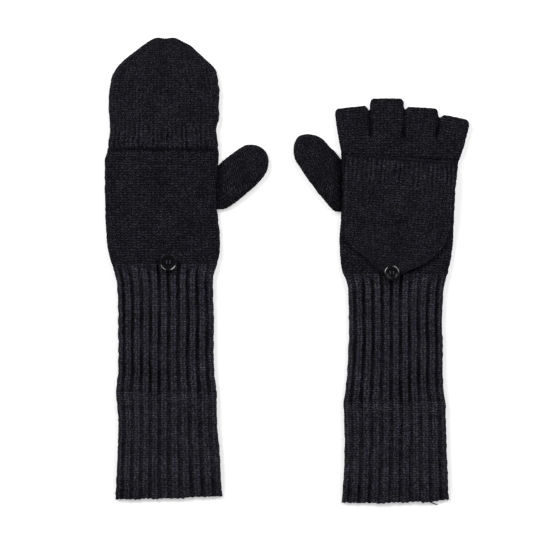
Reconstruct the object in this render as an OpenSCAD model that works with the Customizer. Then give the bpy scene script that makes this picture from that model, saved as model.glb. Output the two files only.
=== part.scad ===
/* [Pair] */
// Distance of the left mitten's wrist centre to the left of the pair's middle
left_x = 101.3; // [90:0.1:130]
// Height of the left mitten's wrist line above the pair's middle
left_y = 5.9; // [-20:0.1:20]
// Distance of the right mitten's wrist centre to the right of the pair's middle
right_x = 90.7; // [80:0.1:130]
// Height of the right mitten's wrist line above the pair's middle
right_y = -2.1; // [-20:0.1:20]

/* [Knit] */
// Thickness of the ribbed cuff and of the hand, both layers and the air between them
body_t = 8.6; // [8.4:0.1:12]
// Thickness of one layer of the cuff and the hand
wall = 1.6; // [1:0.1:2]
// Height of the palm panel's top, which the knuckles and finger tubes lie above
tube_z = 1.9; // [1.8:0.1:2.2]
// Thickness of one layer of a finger tube
tube_wall = 1.1; // [0.8:0.05:1.2]
// Thickness of one layer of the hood
hood_wall = 1.6; // [1:0.1:1.6]

/* [Cuff] */
// Length of the left cuff below the wrist line
left_cuff_length = 195; // [150:1:230]
// Length of the right cuff below the wrist line
right_cuff_length = 191; // [150:1:230]
// Distance of the fold line below the wrist line
fold_at = 106.5; // [100:0.5:112]
// Distance from one rib to the next
rib_pitch = 8.2; // [7:0.1:10]
// Width of the groove between two ribs
groove_w = 2.4; // [1.5:0.1:3]
// Depth of the groove between two ribs
groove_d = 0.5; // [0.2:0.05:0.7]

/* [Hood] */
// Distance of the knuckle seam above the wrist line
seam_at = 94; // [90:0.5:96]
// Length of the relaxed, closed hood on the left mitten
left_hood_length = 92.5; // [85:0.5:93]
// Length of the hood on the right mitten, stretched a little over its button
right_hood_length = 97.5; // [97:0.5:99]
// Half of the hood's width
hood_half_w = 44.6; // [42:0.1:45]
// Angle that the right hand leans away from its cuff, at the knuckles
right_lean = 4.5; // [0:0.5:6]
// Thickness of the closed hood's sides
hood_side_wall = 1; // [0.8:0.05:1.1]
// Radius of the rolled knuckle seam
seam_r = 1.1; // [0.8:0.05:1.1]
// Width of the buttonhole
slit_w = 2.6; // [2.4:0.1:3.2]
// Length of the buttonhole
slit_l = 8; // [6:0.5:10]

/* [Thumb] */
// Width of a thumb
thumb_w = 31; // [26:0.5:32]
// Length of the left thumb along its middle
left_thumb_length = 50; // [45:0.5:60]
// Length of the right thumb along its middle
right_thumb_length = 55; // [45:0.5:60]
// Angle of the left thumb from straight out
left_thumb_angle = 38.5; // [30:0.5:55]
// Angle of the right thumb from straight out
right_thumb_angle = 52; // [30:0.5:55]

/* [Finger tubes] */
// Length of the index finger's tube
index_length = 24.5; // [15:0.5:30]
// Length of the middle finger's tube
middle_length = 30; // [15:0.5:34]
// Length of the ring finger's tube
ring_length = 21.5; // [15:0.5:30]
// Length of the little finger's tube
little_length = 18; // [12:0.5:24]

/* [Button] */
// Diameter of the button
button_d = 13; // [11:0.5:15]
// Thickness of the button at its rim
button_t = 2.6; // [2:0.1:3]
// Radius of one hole in the button
button_hole_r = 0.75; // [0.7:0.05:1]
// Distance of each hole from the button's middle, along and across
hole_offset = 1.35; // [1.2:0.05:1.8]
// Radius of the thread shank under the button
shank_r = 0.9; // [0.7:0.05:1]
// Height of the thread wound close under the button
wrap_h = 0.4; // [0.2:0.05:0.6]

/* [Hidden] */
$fn = 64;

LEFT = 0;
RIGHT = 1;
KNIT = "#1c1c21";
RIB = "#24242a";
TUBE = "#2c2c33";
HOOD = "#33333b";
GLOSS = "#08080a";
THREAD = "#3d3d44";

// Free space left between two bodies that move apart, and between two layers that only touch.
gap = 0.3;
layer_gap = 0.4;
// How far a cut runs past a face, and a length greater than a mitten's.
cut = 2;
far = 250;

// The hood hinges about the middle of the seam, and its two layers lie above the hand.
axis_z = body_t + seam_r;
back_z = axis_z - hood_wall / 2;
open_palm_z = back_z + hood_wall + layer_gap;
hood_start = seam_r + 0.2;

// The hand's straight edge, which the thumb folds beside, and the height of the thumb's middle there.
thumb_edge = [44.2, 45.6];
thumb_middle = [64, 70.4];

// Outlines: height above the wrist, then how far the thumb side and the outer side reach.
LEFT_HAND = [[0, 43.3, 43.2], [21, 44.2, 47.7], [45, 44.2, 49.2], [84, 44.2, 49.2], [seam_at, 44, 46.7]];
RIGHT_HAND = [[0, 43.3, 43.2], [21, 45.6, 47.9], [45, 45.6, 50], [seam_at, 45.6, 52]];
LEFT_CUFF = [[0, 41.6, 41], [-30, 40.8, 39.2], [-90, 41.7, 38.7], [-fold_at, 43.4, 40.3]];
RIGHT_CUFF = [[0, 41.6, 41], [-30, 39.5, 39.3], [-75, 40.3, 39], [-fold_at, 44.1, 40.2]];
LEFT_HEM = [[-fold_at, 43.4, 40.3], [-131, 44, 38.2], [-left_cuff_length, 48.6, 40.9]];
RIGHT_HEM = [[-fold_at, 44.1, 40.2], [-135, 43, 42.2], [-right_cuff_length, 45, 44.2]];

// The knuckle line, from the thumb side to the outer side: where the finger tubes start.
LEFT_KNUCKLES = [[41, 113], [19.8, 113.5], [-1.4, 113.5], [-22.6, 113.5], [-42.2, 111]];
RIGHT_KNUCKLES = [[47, 112], [21, 113.6], [-6, 115.2], [-34.2, 115.5], [-55.5, 106.5]];
// How far the knuckle part reaches to the outer side and to the thumb side, where it leaves the hand.
LEFT_KNUCKLE_BASE = [-43.8, 42];
RIGHT_KNUCKLE_BASE = [-52, 45.6];
TUBE_LENGTHS = [index_length, middle_length, ring_length, little_length];
LEFT_TIP_WIDTHS = [20.6, 20.6, 20.6, 18.6];
RIGHT_TIP_WIDTHS = [25.5, 26.5, 27, 22];
// Each finger's lean towards the thumb.
LEFT_LEANS = [0, 0, 0, 0];
RIGHT_LEANS = [8.6, 0, -4, -15.3];

function pick(side, left, right) = side == LEFT ? left : right;

// Where the middle of the knuckle seam lies.
function seam_middle(side) = pick(side, [-0.9, seam_at + 0.5], [-3.7, seam_at - 0.4]);
function hood_length(side) = pick(side, left_hood_length, right_hood_length);

// The right button stands where the buttonhole of its folded hood lies.
function shank_reach() = right_hood_length - 3.5;
function right_button() =
    seam_middle(RIGHT) + shank_reach() * [sin(right_lean), -cos(right_lean)];
function button_at(side) = pick(side, [3.9, 1.1], right_button());
// The underside of either button, and the thread wound below it, clear the folded hood's two layers.
button_z = open_palm_z + hood_wall + wrap_h + gap / 2;

// Moves one mitten to its place. A mitten is drawn with its thumb towards +X and its fingers towards +Y.
module place(side) {
    if (side == LEFT) {
        translate([-left_x, left_y, 0]) children();
    } else {
        translate([right_x, right_y, 0]) mirror([1, 0, 0]) children();
    }
}

// A closed outline from a list of [height, thumb side, outer side], drawn in by an inset.
function outline(stations, inset = 0) = concat(
    [for (s = stations) [s[1] - inset, s[0]]],
    [for (i = [len(stations) - 1:-1:0]) [inset - stations[i][2], stations[i][0]]]
);

// The same list with its two ends pushed outwards, for a cavity that is open at both ends.
function stretched(stations, by) = let (last = len(stations) - 1) [
    for (i = [0:1:last]) stations[i] + [i == 0 ? by : i == last ? -by : 0, 0, 0]
];

module slab(points, z0, z1) {
    translate([0, 0, z0]) linear_extrude(z1 - z0) polygon(points);
}

// Grooves between the ribs, cut into both faces of a cuff piece.
module grooves(top, bottom) {
    for (i = [-4:1:4]) {
        for (z = [-cut, body_t - groove_d]) {
            translate([i * rib_pitch - groove_w / 2, bottom - cut, z])
                cube([groove_w, top - bottom + 2 * cut, cut + groove_d]);
        }
    }
}

module cuff_piece(stations, top, bottom) {
    difference() {
        slab(outline(stations), 0, body_t);
        slab(outline(stretched(stations, cut), wall), wall, body_t - wall);
        grooves(top, bottom);
    }
}

// The end of the cuff, which turns up over the rest about the fold line.
module cuff_lower(side) {
    stations = pick(side, LEFT_HEM, RIGHT_HEM);
    length = pick(side, left_cuff_length, right_cuff_length);
    lowered = concat([[-fold_at - gap, stations[0][1], stations[0][2]]], [stations[1], stations[2]]);
    color(RIB) place(side) cuff_piece(lowered, -fold_at, -length);
}

module cuff_upper(side) {
    color(RIB) place(side) cuff_piece(pick(side, LEFT_CUFF, RIGHT_CUFF), 0, -fold_at);
}

// The knuckle part of the hand, which the hood's palm panel passes under.
function knuckle_outline(side, inset, rise) = let (
    k = pick(side, LEFT_KNUCKLES, RIGHT_KNUCKLES),
    base = pick(side, LEFT_KNUCKLE_BASE, RIGHT_KNUCKLE_BASE)
) concat(
    [[base[0] + inset, seam_at - cut], [base[1] - inset, seam_at - cut]],
    [k[0] + [-inset, rise]],
    [for (i = [1:1:3]) k[i] + [0, rise]],
    [k[4] + [inset, rise]]
);

module hand(side) {
    stations = pick(side, LEFT_HAND, RIGHT_HAND);
    edge = thumb_edge[side];
    color(KNIT) place(side) difference() {
        union() {
            slab(outline(stations), 0, body_t);
            slab(knuckle_outline(side, 0, 0), tube_z, body_t);
        }
        slab(outline(concat([[-cut, 41.6, 41]], stations), wall), wall, body_t - wall);
        slab(knuckle_outline(side, wall, cut), tube_z + tube_wall, body_t - tube_wall);
        // The way into the thumb.
        translate([edge - 2 * wall, thumb_middle[side] - thumb_w / 2 + wall, wall])
            cube([2 * wall + cut, thumb_w - 2 * wall, body_t - 2 * wall]);
    }
}

// The four corners of a finger tube: two on the knuckle line and two at its open tip.
function tube_outline(side, i, inset, over) = let (
    k = pick(side, LEFT_KNUCKLES, RIGHT_KNUCKLES),
    turn = pick(side, LEFT_LEANS, RIGHT_LEANS)[i],
    half = pick(side, LEFT_TIP_WIDTHS, RIGHT_TIP_WIDTHS)[i] / 2 - inset,
    along = [sin(turn), cos(turn)],
    across = [cos(turn), -sin(turn)],
    base = (k[i + 1] - k[i]) / norm(k[i + 1] - k[i]),
    tip = (k[i] + k[i + 1]) / 2 + TUBE_LENGTHS[i] * along
) [
    k[i] + (gap / 2 + inset) * base - over * along,
    tip + half * across + over * along,
    tip - half * across + over * along,
    k[i + 1] - (gap / 2 + inset) * base - over * along
];

module finger_tube(side, i) {
    color(TUBE) place(side) difference() {
        slab(tube_outline(side, i, 0, 0), tube_z, body_t);
        slab(tube_outline(side, i, tube_wall, cut), tube_z + tube_wall, body_t - tube_wall);
    }
}

// A thumb lying flat: a round tip about the origin and a straight part towards -X.
module thumb_form(radius, tail, z0, z1) {
    translate([0, 0, z0]) cylinder(r = radius, h = z1 - z0);
    translate([-tail, -radius, z0]) cube([tail, 2 * radius, z1 - z0]);
}

module thumb(side) {
    r = thumb_w / 2;
    reach = pick(side, left_thumb_length, right_thumb_length) - r;
    turn = pick(side, left_thumb_angle, right_thumb_angle);
    edge = thumb_edge[side];
    // The straight part runs on into the hand and is cut off slantwise beside the hand's edge.
    tail = 2 * reach;
    color(KNIT) place(side) difference() {
        translate([edge, thumb_middle[side], 0]) rotate([0, 0, turn]) translate([reach, 0, 0])
            difference() {
                thumb_form(r, tail, 0, body_t);
                thumb_form(r - wall, tail + cut, wall, body_t - wall);
            }
        translate([edge + 2 * gap - far, -far / 2, -cut]) cube([far, 2 * far, body_t + 2 * cut]);
    }
}

// Draws a hood piece along +Y from the seam: towards the fingertips when closed, the wrist when open.
module from_seam(side) {
    middle = seam_middle(side);
    place(side) translate([middle[0], middle[1], 0])
        rotate([0, 0, pick(side, 0, 180 + right_lean)]) children();
}

// Half of the hood's width at a distance from the seam: straight sides, then a blunt round tip.
function hood_half(side, u, inset) = let (
    shoulder = 50,
    t = max(0, u - shoulder) / (hood_length(side) - shoulder)
) max(0, (hood_half_w - inset) * pow(1 - t * t, 0.6));

function hood_outline(side, inset, start) = let (
    end = hood_length(side) - inset,
    us = [start, 50, 56, 62, 68, 73, 78, 82, 86, 89, end - 1.2, end - 0.2]
) concat(
    [for (u = us) [hood_half(side, u, inset), u]],
    [for (i = [len(us) - 1:-1:0]) [-hood_half(side, us[i], inset), us[i]]]
);

module buttonhole(side) {
    translate([-slit_w / 2, hood_length(side) - 1.7 - slit_l, -cut])
        cube([slit_w, slit_l, 20]);
}

// The hood's back panel, which hinges about the seam.
module hood_back(side) {
    color(HOOD) from_seam(side) difference() {
        slab(hood_outline(side, 0, hood_start), back_z, back_z + hood_wall);
        buttonhole(side);
    }
}

// The hood's palm panel. It stands away from the back panel when closed and lies flat on it when open.
module hood_palm(side) {
    z = pick(side, 0, open_palm_z);
    color(HOOD) from_seam(side) difference() {
        union() {
            slab(hood_outline(side, 0, hood_start), z, z + hood_wall);
            if (side == LEFT) {
                difference() {
                    slab(hood_outline(side, 0, hood_start), z, back_z - gap / 2);
                    slab(hood_outline(side, hood_side_wall, -cut), z + hood_wall, back_z);
                }
            }
        }
        buttonhole(side);
    }
}

// The rolled row of linking stitches that joins the hood to the back of the hand.
module hood_seam(side) {
    half = hood_half_w - hood_side_wall;
    color(THREAD) from_seam(side) translate([-half, 0, axis_z])
        rotate([0, 90, 0]) cylinder(r = seam_r, h = 2 * half);
}

// A dished button with a raised rim and four holes.
module button(side) {
    at = button_at(side);
    r = button_d / 2;
    color(GLOSS) place(side) translate([at[0], at[1], button_z]) difference() {
        rotate_extrude() polygon([
            [0, 0], [r - 1.4, 0], [r, 0.9], [r, button_t - 0.6], [r - 0.5, button_t],
            [r - 1.2, button_t], [r - 2.2, button_t - 1], [0, button_t - 1.2]
        ]);
        for (x = [-hole_offset, hole_offset], y = [-hole_offset, hole_offset]) {
            translate([x, y, -cut]) cylinder(r = button_hole_r, h = button_t + 2 * cut);
        }
    }
}

// The sewing thread: a knotted foot on the hand, a shank, and two bars through the button's holes.
module button_thread(side) {
    at = button_at(side);
    strand_r = button_hole_r - 0.2;
    bar_r = strand_r - 0.1;
    wrap_r = norm([hole_offset, hole_offset]) + strand_r + 0.1;
    bar_z = button_z + button_t - 0.9 + bar_r;
    strand_z = button_z - wrap_h / 2;
    color(THREAD) place(side) translate([at[0], at[1], 0]) union() {
        translate([0, 0, axis_z]) sphere(r = seam_r);
        translate([0, 0, axis_z]) cylinder(r = shank_r, h = button_z - axis_z);
        translate([0, 0, button_z - wrap_h]) cylinder(r = wrap_r, h = wrap_h);
        for (x = [-hole_offset, hole_offset]) {
            for (y = [-hole_offset, hole_offset]) {
                translate([x, y, strand_z]) cylinder(r = strand_r, h = bar_z + bar_r / 2 - strand_z);
            }
            translate([x, -hole_offset, bar_z]) rotate([-90, 0, 0])
                cylinder(r = bar_r, h = 2 * hole_offset);
        }
    }
}

cuff_lower(LEFT);  // left_cuff_lower
cuff_upper(LEFT);  // left_cuff_upper
hand(LEFT);  // left_hand
finger_tube(LEFT, 0);  // left_index_tube
finger_tube(LEFT, 1);  // left_middle_tube
finger_tube(LEFT, 2);  // left_ring_tube
finger_tube(LEFT, 3);  // left_little_tube
thumb(LEFT);  // left_thumb
hood_seam(LEFT);  // left_hood_seam
hood_back(LEFT);  // left_hood_back
hood_palm(LEFT);  // left_hood_palm
button(LEFT);  // left_button
button_thread(LEFT);  // left_button_thread
cuff_lower(RIGHT);  // right_cuff_lower
cuff_upper(RIGHT);  // right_cuff_upper
hand(RIGHT);  // right_hand
finger_tube(RIGHT, 0);  // right_index_tube
finger_tube(RIGHT, 1);  // right_middle_tube
finger_tube(RIGHT, 2);  // right_ring_tube
finger_tube(RIGHT, 3);  // right_little_tube
thumb(RIGHT);  // right_thumb
hood_seam(RIGHT);  // right_hood_seam
hood_back(RIGHT);  // right_hood_back
hood_palm(RIGHT);  // right_hood_palm
button(RIGHT);  // right_button
button_thread(RIGHT);  // right_button_thread
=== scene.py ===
"""A pair of black convertible flip-top mittens lying back of hand up on a white table.

The left mitten's hood is closed over its fingers. The right one's is flipped back and buttoned at the wrist.
Every shape is worked out in one mitten's own frame, in millimetres: x towards the thumb, y towards the
fingers, z up, with the origin at the middle of the wrist. Mitten.place moves that into the shared frame, and
Cloth.build turns it into metres.
"""

import math

import bmesh
import bpy
import numpy as np
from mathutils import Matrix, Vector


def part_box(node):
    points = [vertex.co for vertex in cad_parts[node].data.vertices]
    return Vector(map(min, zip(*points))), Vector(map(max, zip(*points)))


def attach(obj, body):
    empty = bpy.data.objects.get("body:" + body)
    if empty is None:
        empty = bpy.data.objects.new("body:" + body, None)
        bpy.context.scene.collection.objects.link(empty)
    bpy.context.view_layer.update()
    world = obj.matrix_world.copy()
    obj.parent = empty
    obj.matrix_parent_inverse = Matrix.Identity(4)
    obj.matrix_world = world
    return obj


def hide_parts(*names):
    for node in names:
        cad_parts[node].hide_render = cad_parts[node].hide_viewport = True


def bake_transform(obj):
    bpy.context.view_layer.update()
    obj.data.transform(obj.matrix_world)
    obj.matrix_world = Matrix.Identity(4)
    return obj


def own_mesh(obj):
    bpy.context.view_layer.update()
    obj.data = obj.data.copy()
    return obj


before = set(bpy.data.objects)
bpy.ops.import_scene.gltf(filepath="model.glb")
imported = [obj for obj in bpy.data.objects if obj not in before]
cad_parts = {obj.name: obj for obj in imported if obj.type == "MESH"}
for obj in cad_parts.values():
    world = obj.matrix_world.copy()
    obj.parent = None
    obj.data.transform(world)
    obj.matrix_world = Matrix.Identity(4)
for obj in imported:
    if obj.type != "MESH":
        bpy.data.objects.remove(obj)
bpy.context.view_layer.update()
MM = 0.001
rng = np.random.default_rng(20)

# ---------------------------------------------------------------- sizes, in millimetres

BODY_TOP = 8.6  # top of the hand and the cuff
AXIS_Z = 9.7  # the hood hinges at this height
COURSE, WALE = 2.1, 2.92  # one stitch of the plain knit, along and across
RIBS_ROUND = 22  # ribs round the whole cuff, each of two raised stitches and a sunk one
RIB_DEPTH = 2.2
KNIT_WALL = 1.3
FOLD_AT = -106.65  # where the cuff's end turns up
HOOD_TO_SHANK = 94.0  # from the knuckle seam to the shank of the right button
HOOD_RIBS = 48  # ribs round the hood's band
BODY_EDGE = 6.5  # radius of the rounded edge of the hand and the cuff
LOWEST, LOWEST_HAIR = 0.02, 0.15  # nothing of the knit, or of its hairs, goes lower
HAIRS_ON = {"cuff": 4200, "hand": 2600, "thumb": 900, "fingers": 1600, "hood": 2200}
HEM_AT = [-1, -0.7, 0, 0.6, 1]  # share of the way across the hem, from the outer side
HEM_REACH = {"left": [0, 0, 0.5, 2.0, 2.6], "right": [3, 1.2, 0.2, 0, 0.4]}

# Distance along the mitten, then how far it reaches on the thumb side and on the outer side.
BODY_OUTLINE = {
    "left": [
        (-196, 48.7, 40.6), (-180, 48.1, 40.2), (-167, 47.4, 39.4), (-155, 46.7, 38.8), (-142, 45.4, 38.3),
        (-132, 44.7, 38.3), (-118, 44.2, 39.3), (-110, 44.2, 40.2), (-100, 43.4, 39.7), (-90, 42.3, 38.5),
        (-72, 41.7, 38.2), (-47, 41.6, 38.4), (-31, 41.1, 38.6), (-22, 41.2, 39.2), (-14, 41.4, 39.9),
        (-9, 42.1, 41.2), (-4, 43.1, 42.6), (1, 44.5, 43.9), (6, 45.6, 45.3), (11, 46.1, 46.3),
        (16, 46.4, 47.1), (25, 46.2, 47.9), (31, 45.5, 48.2), (38, 44.6, 48.6), (46, 43.9, 48.8),
        (60, 43.8, 49.1), (80, 44.8, 49.2), (88, 45.3, 48.5), (96, 44.8, 46.2),
    ],
    "right": [
        (-191, 45.0, 44.6), (-180, 44.4, 44.1), (-160, 43.2, 43.2), (-147, 43.0, 42.7), (-135, 43.0, 42.3),
        (-126, 43.4, 42.0), (-118, 43.9, 41.8), (-110, 44.2, 41.9), (-102, 43.4, 40.8), (-92, 41.8, 39.7),
        (-82, 40.7, 39.4), (-64, 39.8, 39.4), (-52, 39.2, 39.0), (-39, 39.3, 38.9), (-23, 39.6, 39.4),
        (-16, 39.9, 39.9), (-11, 40.6, 40.7), (-6, 41.7, 41.8), (-1, 43.7, 43.0), (4, 44.8, 43.9),
        (9, 45.6, 45.0), (14, 46.2, 45.9), (19, 46.5, 46.5), (28, 46.9, 47.2), (45, 46.2, 47.3),
        (62, 46.4, 47.3), (80, 47.4, 47.5), (96, 48.9, 48.2),
    ],
}
# Distance from the knuckle seam, then the hood's reach on the thumb side and on the outer side.
HOOD_OUTLINE = {
    "left": [
        (0, 45.7, 45.6), (6, 45.6, 45.4), (10, 44.9, 44.7), (16, 44.7, 43.9), (21, 45.3, 43.8),
        (24, 46.3, 44.1), (32, 46.5, 44.8), (40, 46.6, 45.1), (48, 46.7, 44.4), (57, 45.9, 42.9),
        (63, 44.5, 40.8), (68, 41.9, 38.0), (73, 36.9, 33.3), (78, 31.6, 27.3), (82, 27.0, 22.0),
        (85, 23.8, 18.0), (87.5, 19.6, 14.2), (90, 15.0, 10.3), (92.5, 10.2, 6.0),
    ],
    "right": [
        (0, 45.4, 45.0), (16, 45.6, 46.0), (30, 45.0, 46.2), (41, 44.4, 46.2), (50, 43.9, 45.7),
        (60, 42.8, 44.0), (65, 42.2, 42.7), (69, 40.4, 41.0), (74.5, 34.8, 37.2), (81, 26.4, 31.4),
        (88, 17.0, 20.6), (93.5, 9.6, 10.6), (97.3, 5.0, 5.0),
    ],
}
# Where the finger tubes start, from the thumb side, then each tube's length, tip width and lean to the thumb.
KNUCKLES = {
    "left": [(41, 113), (19.8, 113.5), (-1.4, 113.5), (-22.6, 113.5), (-42.2, 111)],
    "right": [(47.8, 112), (21, 113.6), (-6.4, 115.2), (-34.4, 115.5), (-57.2, 107.0)],
}
TUBE_LENGTH = [24.5, 30.0, 21.5, 18.0]
TIP_WIDTH = {"left": [20.6, 20.6, 20.6, 18.6], "right": [28.0, 28.4, 27.4, 25.2]}
LEAN = {"left": [0.0, 0.0, 0.0, 0.0], "right": [6.2, 0.0, -4.0, -12.0]}
TIP_ROUND = [3.4, 3.2, 3.2, 4.6]  # how much each tube narrows at its rounded tip
# Along the knuckles: distance from the wrist, then the reach on the thumb side and on the outer side.
KNUCKLE_OUTLINE = {
    "left": [(82, 41.3, 42.6), (94, 42.0, 43.2), (112, 41.0, 42.2)],
    "right": [
        (82, 44.6, 50.0), (93.6, 45.4, 52.4), (101, 45.6, 54.5), (105.5, 46.3, 56.0), (112, 47.6, 57.6),
    ],
}
THUMB = {  # base middle, angle from straight out, the hand's edge, and (along, reach up, reach down)
    "left": {
        "base": (46.1, 61.9), "angle": 40.0, "edge": 44.5,
        "outline": [
            (-20, 15.6, 17.2), (0, 15.8, 17.4), (18, 15.8, 17.6), (30, 15.4, 16.8), (39, 13.9, 14.3),
            (43.5, 11.0, 11.1), (46.2, 8.2, 8.2), (48, 4.8, 4.8), (48.9, 1.6, 1.6),
        ],
    },
    "right": {
        "base": (45.0, 68.2), "angle": 51.5, "edge": 45.9,
        "outline": [
            (-20, 16.2, 16.0), (2, 16.2, 16.1), (13, 16.2, 16.3), (24, 16.0, 16.0), (33, 15.2, 15.4),
            (40, 14.8, 14.7), (44, 13.9, 13.7), (48.4, 12.2, 11.9), (52, 9.4, 9.4), (54.6, 6.6, 6.6),
            (56.4, 3.4, 3.4), (57.2, 1.4, 1.4),
        ],
    },
}


# ---------------------------------------------------------------- curves and grids


def smooth(table, at):
    """Values between the rows of a table of (place, value, ...), on a curve that never overshoots."""
    table = np.asarray(table, float)
    x, y = table[:, 0], table[:, 1:]
    step = np.diff(x)[:, None]
    slope = np.diff(y, axis=0) / step
    tangent = np.zeros_like(y)
    tangent[0], tangent[-1] = slope[0], slope[-1]
    same = slope[:-1] * slope[1:] > 0
    total = np.where(same, slope[:-1] + slope[1:], 1.0)
    tangent[1:-1] = np.where(same, 2 * slope[:-1] * slope[1:] / total, 0.0)
    at = np.clip(np.asarray(at, float), x[0], x[-1])
    i = np.clip(np.searchsorted(x, at, side="right") - 1, 0, len(x) - 2)
    t = ((at - x[i]) / step[i, 0])[:, None]
    a, b = 2 * t**3 - 3 * t**2 + 1, t**3 - 2 * t**2 + t
    c, d = 3 * t**2 - 2 * t**3, t**3 - t**2
    return a * y[i] + b * step[i] * tangent[i] + c * y[i + 1] + d * step[i] * tangent[i + 1]


def ease(x, low, high):
    """0 below low, 1 above high, and smooth between."""
    t = np.clip((np.asarray(x, float) - low) / (high - low), 0, 1)
    return t * t * (3 - 2 * t)


def hump(x, middle, width):
    return np.exp(-(((x - middle) / width) ** 2))


def waver(x, y, size, seed):
    """A smooth, seeded unevenness of about -1 to 1, with bumps of about this size."""
    draw = np.random.default_rng(seed)
    total = 0
    for _ in range(6):
        turn, phase = draw.uniform(0, 2 * math.pi, 2)
        wave = 2 * math.pi / (size * draw.uniform(0.7, 1.6))
        total = total + np.sin(wave * (x * math.cos(turn) + y * math.sin(turn)) + phase)
    return total / 3


class Ring:
    """The columns of a flattened tube: how far across each lies, and whether it is on top."""

    def __init__(self, n, half, edge, rise):
        fine = np.linspace(-1, 1, 4001)
        height = rise * round_edge((1 - np.abs(fine)) * half / edge)
        along = np.concatenate([[0], np.cumsum(np.hypot(np.diff(fine) * half, np.diff(height)))])
        cut = np.interp(np.linspace(0, along[-1], n // 2 + 1), along, fine)
        top, bottom = cut[::-1], cut
        self.n = n
        self.across = np.concatenate([top[:-1], bottom[:-1]])
        self.on_top = np.concatenate([np.ones(n // 2, bool), np.zeros(n // 2, bool)])
        self.length = 2 * along[-1]
        self.arc = np.linspace(0, self.length, n + 1)


def round_edge(q):
    """Height share at a share q of the rounded edge: a quarter circle, then flat."""
    q = np.clip(q, 0, 1)
    return np.sqrt(np.maximum(0, 1 - (1 - q) ** 2))


def tube_grid(ring, y, thumb, outer, z_low, z_edge, z_high, edge, crown=0.4):
    """Points of a flattened tube, one row for each y."""
    y, thumb, outer = (np.asarray(v, float)[:, None] for v in (y, thumb, outer))
    z_low, z_edge, z_high, edge = (
        np.broadcast_to(np.asarray(v, float).reshape(-1, 1), y.shape) for v in (z_low, z_edge, z_high, edge)
    )
    a = ring.across[None, :]
    half = np.where(a > 0, thumb, outer)
    x = a * half
    q = round_edge((1 - np.abs(a)) * half / edge)
    top = z_edge + (z_high - z_edge + crown * (1 - a**2)) * q
    bottom = z_edge - (z_edge - z_low) * q
    z = np.where(ring.on_top[None, :], top, bottom)
    return np.stack([x, np.broadcast_to(y, x.shape), z], axis=2)


def normals_of(grid):
    """Outward unit normals of a grid whose columns go round a tube."""
    around = np.roll(grid, -1, axis=1) - np.roll(grid, 1, axis=1)
    along = np.gradient(grid, axis=0)
    n = np.cross(around, along)
    n /= np.maximum(np.linalg.norm(n, axis=2, keepdims=True), 1e-9)
    middle = grid.mean(axis=1, keepdims=True)
    if np.sum(n * (grid - middle)) < 0:
        n = -n
    return n


def cells(rows, columns):
    """The row and column of each cell of a grid, one after another."""
    i, j = np.meshgrid(np.arange(rows), np.arange(columns), indexing="ij")
    return i.ravel(), j.ravel()


def quads(start, i, j, n):
    """Four-cornered faces from row i to the next and from column j to the next, n columns going round."""
    after = (j + 1) % n
    corners = [(i, j), (i, after), (i + 1, after), (i + 1, j)]
    return np.stack([start + a * n + b for a, b in corners], axis=-1)


def quad_places(across, along, i, j):
    """Where the corners of the same faces lie in the knit."""
    corners = [(across[j + (k in (1, 2))], along[i + (k > 1)]) for k in range(4)]
    return np.stack([np.stack(corner, axis=-1) for corner in corners], axis=1)


def without_repeats(items):
    return [v for k, v in enumerate(items) if v not in items[:k]]


def across_tip(j, n):
    """The columns of a face that joins a flattened ring's top to its bottom."""
    return without_repeats([j, j + 1, (n - j - 1) % n, (n - j) % n])


BODY_RING = Ring(352, 43, BODY_EDGE, 4.4)
ROW = 0.9  # distance between two rows of a grid


# ---------------------------------------------------------------- meshes


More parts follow.
